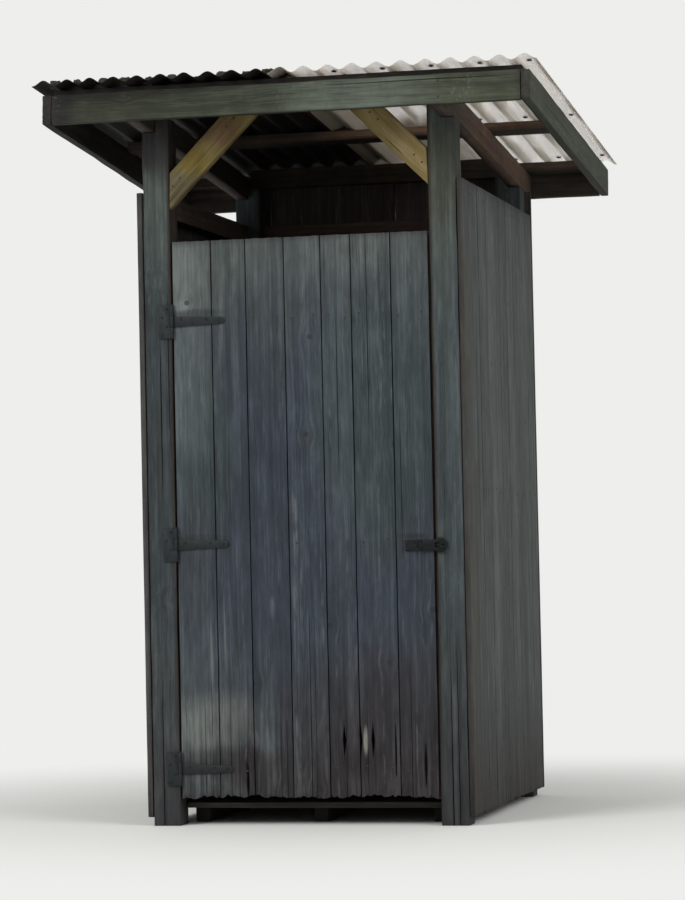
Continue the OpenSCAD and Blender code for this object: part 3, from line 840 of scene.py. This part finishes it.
# Corrugated roof sheets
def slopeOfRoof():
    solid = solidsOf("barge_left")[0]
    along = Board(solid).axes[2]
    solid.free()
    return math.atan2(-along.z, along.y)


slope = slopeOfRoof()
toRoof = Matrix.Rotation(slope, 4, "X")
fromRoof = toRoof.inverted()


def roofBox(nodeName):
    # a node's lowest and highest corner, measured square to the roof
    points = [toRoof @ vert.co for vert in frame["nodes"][nodeName].data.vertices]
    low = Vector([min(point[i] for point in points) for i in range(3)])
    return low, Vector([max(point[i] for point in points) for i in range(3)])


sheetLook = {"waves": 11, "steps": 14, "rows": 60, "lapWidth": 0.16,
             "dents": (5, 4, 0), "tears": (22, 9, 3)}
ironLook = {**sheetLook, "name": "roof_sheet_iron", "thick": 0.0008, "flatten": 0.16, "eaten": 0.009,
            "seed": 4, "lapAt": 1}
clearLook = {**sheetLook, "name": "roof_sheet_clear", "thick": 0.0012, "flatten": 0.06, "eaten": 0.003,
             "seed": 9, "lapAt": 0}


# A sheet measured from its left front corner: s runs across the corrugations and y back down the roof
class Sheet:
    def __init__(self, look):
        self.look = look
        self.low, high = roofBox(look["name"])
        self.width, self.length = high.x - self.low.x, high.y - self.low.y
        self.depth = high.z - self.low.z - look["thick"]
        self.pitch = self.width / look["waves"]
        self.seed = Vector((look["seed"], 2.5, 7.1))

    def ridge(self, s):
        return 0.5 - 0.5 * math.cos(2 * math.pi * s / self.pitch)

    def height(self, s, y):
        dent = 0.5 + 0.5 * lumps((s, y, 0), self.look["dents"], self.seed)
        # where the two sheets lap neither is dented
        lap = abs(s - self.look["lapAt"] * self.width) / self.look["lapWidth"]
        fromLap = min(1.0, max(0.0, lap - 0.5) * 2)
        return self.depth * self.ridge(s) * (1 - self.look["flatten"] * dent * fromLap)

    def spot(self, s, y, above=0.0):
        return fromRoof @ (self.low + Vector((s, y, self.height(s, y) + self.look["thick"] + above)))

    def build(self, paint):
        look = self.look
        sheet = bmesh.new()
        mark = sheet.verts.layers.float_vector.new("sheet")
        bmesh.ops.create_grid(sheet, x_segments=look["waves"] * look["steps"], y_segments=look["rows"],
                              size=0.5)
        for vert in sheet.verts:
            s, end = (vert.co.x + 0.5) * self.width, round(vert.co.y + 0.5)
            tear = look["eaten"] * max(0.0, lumps((s, end, 1), look["tears"], self.seed))
            y = min(max((vert.co.y + 0.5) * self.length, tear), self.length - tear)
            vert[mark] = (s, y, self.ridge(s))
            vert.co = self.low + Vector((s, y, self.height(s, y)))
        bmesh.ops.solidify(sheet, geom=sheet.faces[:], thickness=-look["thick"])
        bmesh.ops.transform(sheet, matrix=fromRoof, verts=sheet.verts)
        bmesh.ops.recalc_face_normals(sheet, faces=sheet.faces)
        piece = makePiece(look["name"] + "_weathered", sheet, paint, "building", sharp=60)
        standIn(piece, look["name"])


def ironPaint():
    paint = Paint("rusted iron sheet")
    place = paint.place()
    _, along, ridge = paint.split(paint.attribute("sheet"))
    upward = paint.upward()
    cloud = paint.noise(place, (7, 5, 7), 5, 0.6)
    run = paint.noise(place, (70, 2.2, 30), 4, 0.6)
    grit = paint.noise(place, (160, 160, 160), 4, 0.7)
    value = cloud * 0.7 + run * 0.4 + grit * 0.25 - 0.2
    metal = paint.ramp(value, ((18, 17, 15), (32, 28, 24), (56, 46, 37), (78, 70, 61)))
    rust = paint.ease(cloud * 0.6 + grit * 0.5 + run * 0.2, 0.66, 0.82)
    metal = paint.blend(rust * 0.8, metal, paint.ramp(grit, ((54, 32, 21), (88, 52, 31), (112, 74, 46))))
    moss = paint.ease(upward, 0.1, 0.6) * paint.ease(cloud * 0.5 + grit * 0.3 - ridge * 0.35, 0.12, 0.32)
    metal = paint.blend(moss * 0.85, metal, paint.ramp(grit, ((28, 30, 20), (46, 49, 31), (68, 70, 46))))
    # the underside is darkened as painted shade
    below = paint.ease(upward, 0.0, -0.4)
    metal = paint.blend(below * 0.9, metal, paint.ramp(value, ((14, 12, 11), (25, 21, 19), (40, 34, 29))))
    lips = paint.ease(along, 0.03, 0.0) * paint.ease(grit, 0.35, 0.6)
    metal = paint.blend(lips * 0.8, metal, shade(23, 22, 18))
    return paint.finish({
        "Base Color": metal,
        "Roughness": grit * 0.3 + 0.6,
        "Metallic": paint.ease(value, 0.75, 1.0) * 0.4,
        "Specular IOR Level": 0.25,
        "Normal": paint.bump(grit * 0.6 + rust * 0.6 + moss * grit, 0.0012),
    })


def clearPaint():
    paint = Paint("clouded clear sheet")
    place = paint.place()
    across, along, ridge = paint.split(paint.attribute("sheet"))
    cloud = paint.noise(place, (6, 3, 6), 4)
    run = paint.noise(place, (90, 2.5, 30), 4, 0.6)
    grit = paint.noise(place, (140, 140, 140), 3, 0.7)
    dirt = paint.ease(cloud * 0.5 + run * 0.3 + grit * 0.25 - ridge * 0.3, 0.3, 0.62)
    # darker and more opaque by the iron sheet and further back
    beside = paint.ease(across + (cloud - 0.5) * 0.2, 0.3, 0.08) * paint.ease(along, 0.03, 0.2)
    behind = paint.ease(across + (cloud - 0.5) * 0.2, 0.5, 0.3) * paint.ease(along, 0.65, 0.85)
    dirt = dirt | beside | behind
    plastic = paint.ramp(cloud * 0.7 + run * 0.3, ((234, 220, 206), (243, 231, 220), (248, 241, 234)))
    soiled = paint.ramp(grit, ((104, 98, 72), (140, 132, 102), (162, 156, 126)))
    plastic = paint.blend(dirt * 0.55, plastic, soiled)
    return paint.finish({
        "Base Color": plastic,
        "Roughness": dirt * 0.25 + 0.35,
        "Transmission Weight": 0.45,
        "Alpha": dirt * 0.5 + 0.4,
        "IOR": 1.45,
        "Normal": paint.bump(grit * 0.4 + run * 0.4, 0.0006),
    })


ironSheet, clearSheet = Sheet(ironLook), Sheet(clearLook)
ironSheet.build(ironPaint())
clearSheet.build(clearPaint())
print("roof sheets made")


# Dirt that has settled in the iron sheet's valleys, most of it at the front edge
dirtLook = {
    "dark": (24, 24, 18), "light": (58, 56, 40), "seed": 12, "aside": 0.3,
    "uneven": 0.6, "coarse": 2.2, "rough": 0.5, "fine": 7,
    "atFront": 5, "frontReach": (0.002, 0.1),
    "further": 2, "furtherFrom": 0.15, "rearFree": 0.2,
    "lump": {"wide": (0.008, 0.022), "long": (0.01, 0.034), "high": (0.01, 0.026)},
    "drift": {"wide": (0.009, 0.015), "long": (0.05, 0.16), "high": (0.003, 0.006)},
    "filled": 0.98, "sunk": 0.0006, "fromEdge": 0.001,
}


def dirtPaint():
    paint = Paint("settled dirt")
    place = paint.place()
    crumb = paint.noise(place, (240, 240, 240), 5, 0.7)
    cloud = paint.noise(place, (30, 30, 30), 3)
    soil = paint.blend(paint.ease(crumb * 0.7 + cloud * 0.3, 0.35, 0.7), shade(*dirtLook["dark"]),
                       shade(*dirtLook["light"]))
    return paint.finish({"Base Color": soil, "Roughness": 0.95, "Normal": paint.bump(crumb, 0.004)})


def layDirt(sheet, look):
    rng = random.Random(look["seed"])
    dirt = bmesh.new()
    rear = sheet.length - look["rearFree"]
    for valley in range(1, sheet.look["waves"]):
        spots = [(look["lump"], rng.uniform(*look["frontReach"])) for _ in range(look["atFront"])]
        spots += [(look["drift"], rng.uniform(look["furtherFrom"], rear)) for _ in range(look["further"])]
        for size, y in spots:
            s = valley * sheet.pitch + about(rng, look["aside"]) * size["wide"][1]
            wide, long, high = [rng.uniform(*size[key]) for key in ("wide", "long", "high")]
            lump = bmesh.new()
            bmesh.ops.create_icosphere(lump, subdivisions=3, radius=1.0)
            for vert in lump.verts:
                seed = Vector((valley, y * 40, 1))
                p = vert.co * (1 + look["uneven"] * noise.noise(vert.co * look["coarse"] + seed))
                across = s + p.x * wide
                back = min(max(y + p.y * long, look["fromEdge"]), sheet.length - look["fromEdge"])
                ground = sheet.height(across, back)
                # nothing stands higher than the ridges at the front edge
                most = sheet.depth * look["filled"] + back * math.tan(slope)
                rise = p.z * high * (1 + look["rough"] * noise.noise(vert.co * look["fine"] - seed))
                top = most * math.tanh(rise / most)
                vert.co = sheet.spot(across, back, max(top - ground, -look["sunk"]))
            joinInto(dirt, lump)
    makePiece("roof_dirt", dirt, dirtPaint(), "building", sharp=80)


layDirt(ironSheet, dirtLook)
print("dirt laid")


# Hinges, the hasp and the fasteners
def steelPaint(name, colours, rustShare, gloss):
    paint = Paint(name)
    place = paint.place()
    cloud = paint.noise(place, (45, 45, 45), 4, 0.6)
    grit = paint.noise(place, (420, 420, 420), 4, 0.7)
    metal = paint.ramp(cloud * 0.6 + grit * 0.5 - 0.05, colours)
    rust = paint.ease(cloud * 0.5 + grit * 0.6, 0.75 - rustShare * 0.4, 0.9 - rustShare * 0.3)
    metal = paint.blend(rust * 0.75, metal, paint.ramp(grit, ((48, 30, 22), (80, 50, 32), (108, 74, 48))))
    return paint.finish({
        "Base Color": metal,
        "Roughness": rust * 0.25 + 0.55,
        "Metallic": 0.35 - rust * 0.35,
        "Specular IOR Level": gloss,
        "Normal": paint.bump(grit * 0.7 + rust * 0.4, 0.0005),
    })


hingePaint = steelPaint("dull hinge steel", ((19, 22, 23), (33, 37, 38), (54, 59, 61)), 0.08, 0.25)
haspPaint = steelPaint("dark hasp steel", ((13, 15, 16), (23, 26, 27), (39, 43, 44)), 0.08, 0.15)
nailPaint = steelPaint("rusted nail", ((28, 25, 23), (46, 38, 33), (68, 58, 50)), 0.4, 0.5)


def wornSteel(nodeName, paint):
    whole = bmesh.new()
    for solid in solidsOf(nodeName):
        roundOff(solid, working["steelArris"], working["steelRound"])
        joinInto(whole, solid)
    standIn(makePiece(nodeName + "_worn", whole, paint, bodyOf[nodeName]), nodeName)


for node in (*onLevels("hinge_plate_"), "hinge_pins", *onLevels("hinge_strap_")):
    wornSteel(node, hingePaint)
for node in ("latch_staple", "hasp_leaf", "hasp_strap"):
    wornSteel(node, haspPaint)


nailLook = {"radius": 0.0034, "rise": 0.4, "around": 10, "rings": 5}
screwLook = {"radius": 0.0045, "taper": 0.72, "high": 0.0018, "sides": 14,
             "slot": 0.0014, "slotDepth": 0.6, "slotLines": (-0.5, -0.35, 0.35, 0.5), "slotInner": 0.4,
             "onPlane": 0.000001}
roofNailLook = {"radius": 0.0095, "rise": 0.45, "around": 14, "rings": 6, "every": 2}  # ridges


def facing(spot, normal):
    # stands a shape made along +Z on a surface
    return Matrix.Translation(spot) @ normal.to_track_quat("Z", "Y").to_matrix().to_4x4()


def domes(name, spots, look, paint, body):
    heads = bmesh.new()
    for spot, normal in spots:
        stand = facing(spot, normal) @ Matrix.Diagonal((1, 1, look["rise"], 1))
        bmesh.ops.create_uvsphere(heads, u_segments=look["around"], v_segments=look["rings"],
                                  radius=look["radius"], matrix=stand)
    makePiece(name, heads, paint, body)


def screwHead(look, turn):
    # a low head with a slot across it
    head = bmesh.new()
    bmesh.ops.create_cone(head, cap_ends=True, segments=look["sides"], radius1=look["radius"],
                          radius2=look["radius"] * look["taper"], depth=look["high"])
    for line in look["slotLines"]:
        cutThrough(head, (line * look["slot"], 0, 0), (1, 0, 0), look["onPlane"])
    for vert in head.verts:
        if vert.co.z > 0 and abs(vert.co.x) < look["slotInner"] * look["slot"]:
            vert.co.z -= look["high"] * look["slotDepth"]
    bmesh.ops.rotate(head, matrix=Matrix.Rotation(turn, 3, "Z"), verts=head.verts)
    return head


def screwHeads(name, spots, body):
    rng = random.Random(name)
    heads = bmesh.new()
    for x, y, z in spots:
        head = screwHead(screwLook, rng.uniform(0, math.pi))
        stand = facing(Vector((x, y - screwLook["high"] / 2, z)), Vector((0, -1, 0)))
        bmesh.ops.transform(head, matrix=stand, verts=head.verts)
        joinInto(heads, head)
    makePiece(name, heads, hingePaint, body)


# Screws of one strap, plate and hasp leaf: a share of its length and a distance from its middle line
screwsOn = {
    "strap": ((0.20, 0.007), (0.42, -0.006), (0.66, 0.0045), (0.90, 0.0)),
    "plate": ((0.10, -0.008), (0.36, 0.007), (0.64, -0.007), (0.90, 0.008)),
    "leaf": ((0.15, 0.010), (0.15, -0.010), (0.62, 0.0)),
    "stands": 0.0033,
    "knuckle": 0.014,
}


def screwsOf(nodeName, kind):
    low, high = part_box(nodeName)
    middle = (low + high) / 2
    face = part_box("door_boards")[0].y - screwsOn["stands"]
    spots = []
    for share, off in screwsOn[kind]:
        if kind == "plate":
            flat = (low.x + high.x - screwsOn["knuckle"]) / 2
            spots.append((flat + off, face, low.z + share * (high.z - low.z)))
        else:
            spots.append((low.x + share * (high.x - low.x), face, middle.z + off))
    return spots


doorScrews = screwsOf("hasp_leaf", "leaf")
postScrews = []
for strap, plate in zip(onLevels("hinge_strap_"), onLevels("hinge_plate_")):
    doorScrews += screwsOf(strap, "strap")
    postScrews += screwsOf(plate, "plate")
screwHeads("door_screws", doorScrews, "door")
screwHeads("post_screws", postScrews, "building")
domes("wall_nails", nailSpots["building"], nailLook, nailPaint, "building")
domes("door_nails", nailSpots["door"], nailLook, nailPaint, "door")


def roofNails(sheet, first):
    # through every second ridge into the purlins
    upward = fromRoof.to_3x3() @ Vector((0, 0, 1))
    spots = []
    for nodeName in purlins:
        low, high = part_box(nodeName)
        y = (toRoof @ ((low + high) / 2)).y - sheet.low.y
        for ridge in range(first, sheet.look["waves"], roofNailLook["every"]):
            spots.append((sheet.spot((ridge + 0.5) * sheet.pitch, y), upward))
    return spots


roofSpots = roofNails(ironSheet, 0) + roofNails(clearSheet, 2)
domes("roof_nails", roofSpots, roofNailLook, nailPaint, "building")
print("steel made:", {body: len(spots) for body, spots in nailSpots.items()}, "nails")
